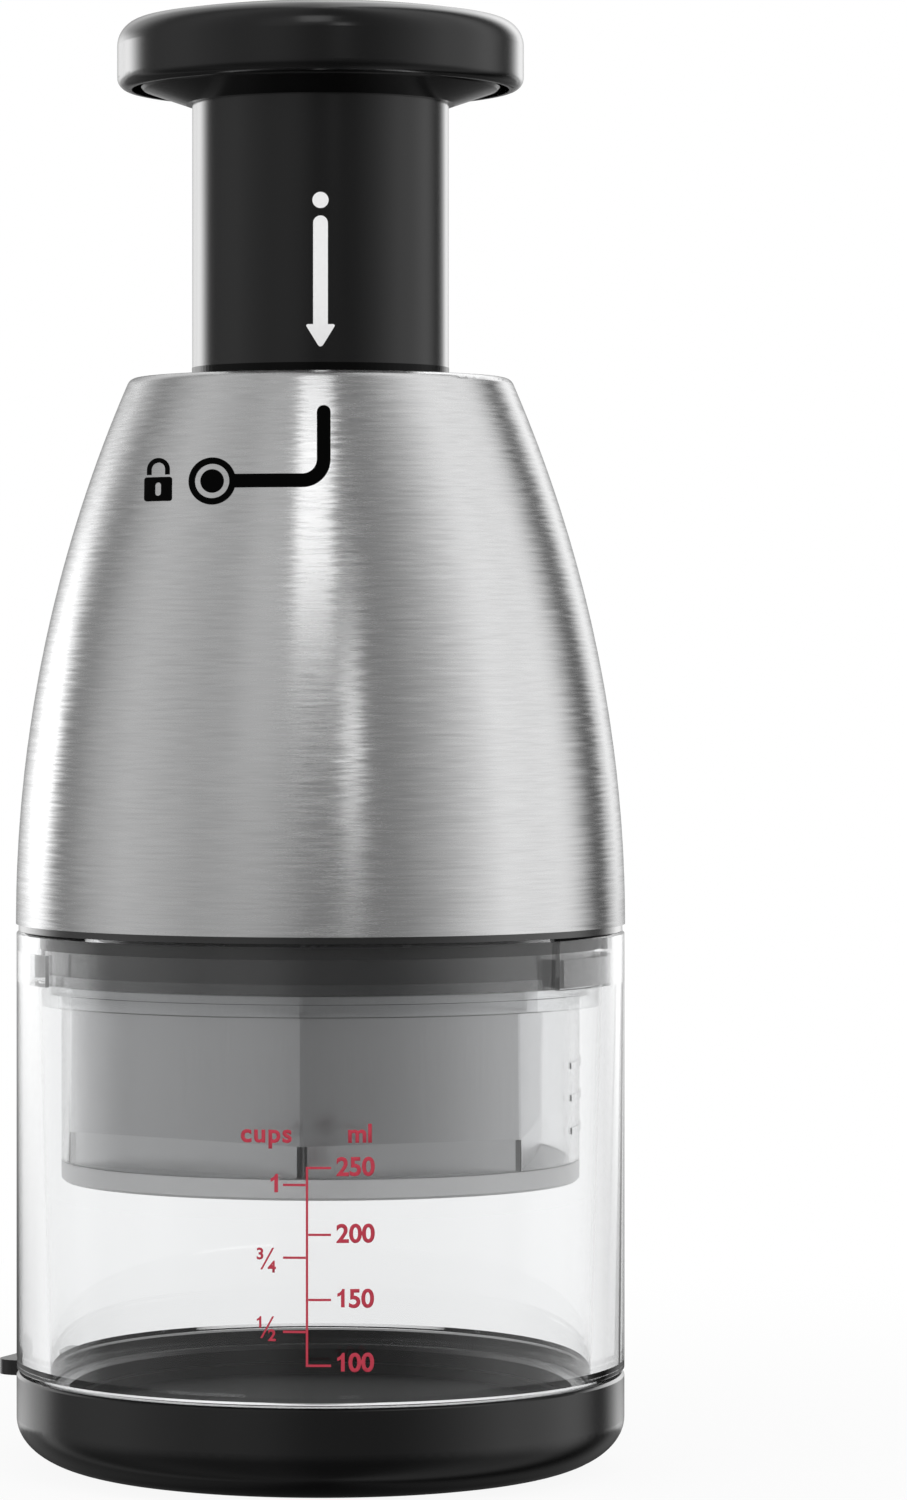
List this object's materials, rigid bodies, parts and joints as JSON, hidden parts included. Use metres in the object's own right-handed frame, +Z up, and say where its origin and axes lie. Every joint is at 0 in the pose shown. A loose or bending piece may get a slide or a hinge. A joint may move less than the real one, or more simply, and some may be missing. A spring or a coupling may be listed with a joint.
{
  "type": "vegetable chopper",
  "caption": "Push-down vegetable chopper: a sprung plunger drives an indexing zigzag blade into a clear container on a lift-off base, under a tapered steel head.",
  "frame": {"origin": "middle of the rubber pad that the chopper stands on, at the table", "axes": "+Z up along the plunger, front with the printed scale towards -Y"},
  "size_m": [0.0956, 0.0922, 0.2212],
  "materials": {
    "black_plastic": "satin moulded black ABS",
    "dark_plastic": "moulded dark grey plastic",
    "inner_plastic": "moulded grey plastic, not seen from outside",
    "clear_plastic": "clear polished plastic",
    "smoke_plastic": "translucent grey plastic",
    "satin_steel": "satin rolled stainless sheet",
    "mat_plastic": "soft dark grey plastic",
    "nylon": "natural nylon",
    "rubber": "black rubber",
    "brushed_steel": "stainless, brushed round the axis",
    "blade_steel": "ground stainless",
    "spring_steel": "bright spring steel",
    "screw_steel": "zinc plated steel",
    "red_print": "red ink of the scale printed on the container",
    "white_print": "white ink of the arrow printed on the stem",
    "black_print": "black ink of the lock track printed on the shell"
  },
  "bodies": {
    "base": {"base_cap": "black_plastic", "foot_pad": "rubber", "base_seal": "rubber", "cutting_mat": "mat_plastic"},
    "container": {"container": "clear_plastic"},
    "seal": {"head_seal": "rubber"},
    "housing": {"collar": "dark_plastic", "collar_screws": "screw_steel", "chassis": "inner_plastic", "steel_shell": "brushed_steel", "stem_bush": "inner_plastic", "guard_ring": "clear_plastic", "index_nut": "nylon", "return_spring": "spring_steel"},
    "wiper": {"wiper_cup": "smoke_plastic", "blade_skirt": "satin_steel"},
    "carriage": {"spring_seat": "nylon"},
    "plunger": {"stem_tube": "black_plastic", "knob_plate": "black_plastic", "knob_cap": "black_plastic", "knob_screws": "screw_steel"},
    "blades": {"spindle": "screw_steel", "spindle_circlip": "spring_steel", "spindle_pin": "spring_steel", "thrust_washer": "nylon", "blade_carrier": "inner_plastic", "zigzag_blade": "blade_steel"}
  },
  "joints": [
    {"name": "container_lift", "type": "slide", "parent": "base", "child": "container", "axis": [0, 0, 1], "range_m": [0, 0.04]},
    {"name": "head_lift", "type": "slide", "parent": "container", "child": "seal", "axis": [0, 0, 1], "range_m": [0, 0.06]},
    {"name": "head_twist", "type": "hinge", "parent": "seal", "child": "housing", "pos_m": [0, 0, 0.0797], "axis": [0, 0, 1], "range_deg": [0, 25]},
    {"name": "press", "type": "slide", "parent": "housing", "child": "carriage", "axis": [0, 0, -1], "range_m": [0, 0.037], "stiffness_N_per_m": 400, "springref_m": -0.02, "deforming": ["return_spring"]},
    {"name": "lock_turn", "type": "hinge", "parent": "carriage", "child": "plunger", "pos_m": [0, 0, 0.175], "axis": [0, 0, 1], "range_deg": [-30, 0]},
    {"name": "blade_index", "type": "hinge", "parent": "carriage", "child": "blades", "pos_m": [0, 0, 0.175], "axis": [0, 0, 1], "range_deg": [0, 30]},
    {"name": "wiper_index", "type": "hinge", "parent": "housing", "child": "wiper", "pos_m": [0, 0, 0.0723], "axis": [0, 0, 1], "range_deg": [0, 30]}
  ],
  "couplings": [
    {"joint": "blade_index", "follows": "press", "rad_per_m": 14.15},
    {"joint": "wiper_index", "follows": "press", "rad_per_m": 14.15}
  ]
}
